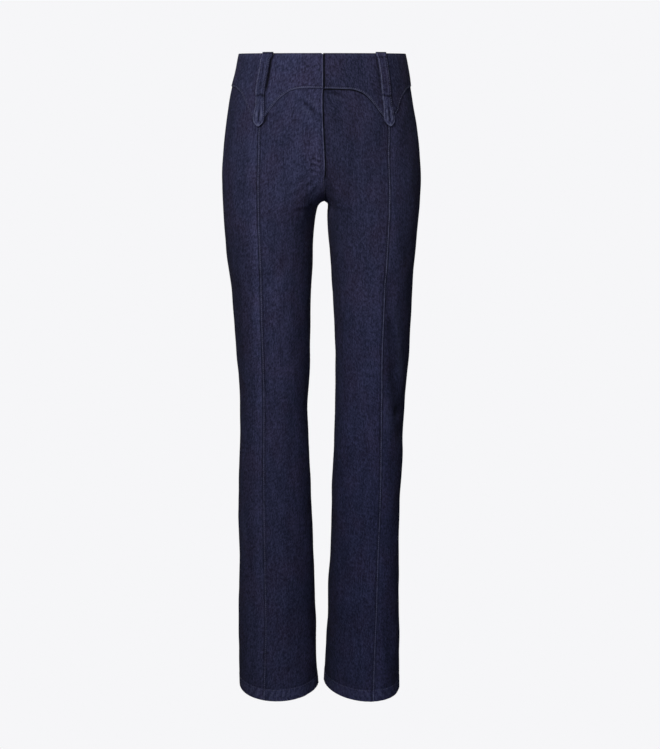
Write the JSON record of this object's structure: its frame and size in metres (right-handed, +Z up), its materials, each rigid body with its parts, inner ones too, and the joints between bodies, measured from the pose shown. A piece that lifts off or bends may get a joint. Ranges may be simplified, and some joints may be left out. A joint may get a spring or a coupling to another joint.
{
  "type": "slim fit jeans",
  "caption": "Slim fit jeans with a slight boot cut, worn shape and hollow, with a pointed high waistband, front panel seams and belt loops.",
  "frame": {"origin": "middle of the waist opening, level with the waistband's top edge, where the wearer's waist holds the jeans", "axes": "+Z up the legs to the waist, -Y the way the front faces, +X towards the wearer's left"},
  "size_m": [0.3295, 0.2319, 1.0931],
  "materials": {
    "denim": "matte dark indigo twill",
    "denim_trim": "matte dark indigo twill, folded strip",
    "zip_tape": "matte woven tape",
    "hook_metal": "satin"
  },
  "bodies": {
    "root": {"front_centre_right": "denim", "front_centre_left": "denim", "front_side_right": "denim", "front_side_left": "denim", "back_right": "denim", "back_left": "denim", "waistband_front_right": "denim", "waistband_front_left": "denim", "waistband_back": "denim", "belt_loop_front_right": "denim_trim", "belt_loop_front_left": "denim_trim", "belt_loop_back": "denim_trim", "fly_zip": "zip_tape", "waist_hook": "hook_metal", "waist_bar": "hook_metal"}
  },
  "joints": []
}
